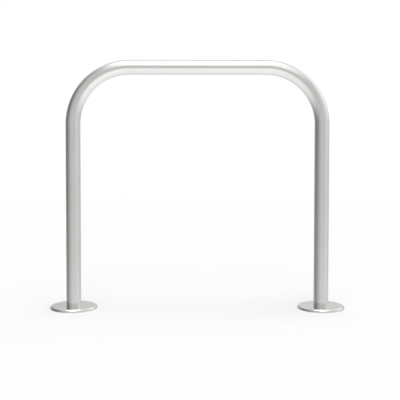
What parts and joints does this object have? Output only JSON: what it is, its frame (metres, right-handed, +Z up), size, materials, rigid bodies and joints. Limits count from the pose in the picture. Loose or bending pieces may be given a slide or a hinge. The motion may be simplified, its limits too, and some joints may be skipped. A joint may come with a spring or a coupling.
{
  "type": "hoop bike rack",
  "caption": "Surface-mounted hoop bike rack: one bent steel tube on two screwed base flanges, each hidden under a round cover plate that lifts along its leg.",
  "frame": {"origin": "on the ground, midway between the two legs", "axes": "+X across the hoop from the left leg to the right leg, +Y through the hoop, +Z up"},
  "size_m": [1.01, 0.16, 0.85],
  "materials": {
    "brushed_tube": "stainless tube, ground and polished to a soft satin lustre",
    "flange_steel": "cold-rolled stainless plate, laser-cut, with a dull mill finish",
    "weld_metal": "stainless weld bead, pickled matt",
    "screw_steel": "cold-forged stainless screw, bright",
    "polished_cover": "pressed stainless sheet, mirror polished"
  },
  "bodies": {
    "rack": {"hoop_tube": "brushed_tube", "base_flange_left": "flange_steel", "base_flange_right": "flange_steel", "weld_bead_left": "weld_metal", "weld_bead_right": "weld_metal", "fixing_screw_left_1": "screw_steel", "fixing_screw_left_2": "screw_steel", "fixing_screw_left_3": "screw_steel", "fixing_screw_left_4": "screw_steel", "fixing_screw_right_1": "screw_steel", "fixing_screw_right_2": "screw_steel", "fixing_screw_right_3": "screw_steel", "fixing_screw_right_4": "screw_steel"},
    "left_cover": {"cover_plate_left": "polished_cover"},
    "right_cover": {"cover_plate_right": "polished_cover"}
  },
  "joints": [
    {"name": "left_cover_lift", "type": "slide", "parent": "rack", "child": "left_cover", "axis": [0, 0, 1], "range_m": [0, 0.62]},
    {"name": "right_cover_lift", "type": "slide", "parent": "rack", "child": "right_cover", "axis": [0, 0, 1], "range_m": [0, 0.62]}
  ]
}
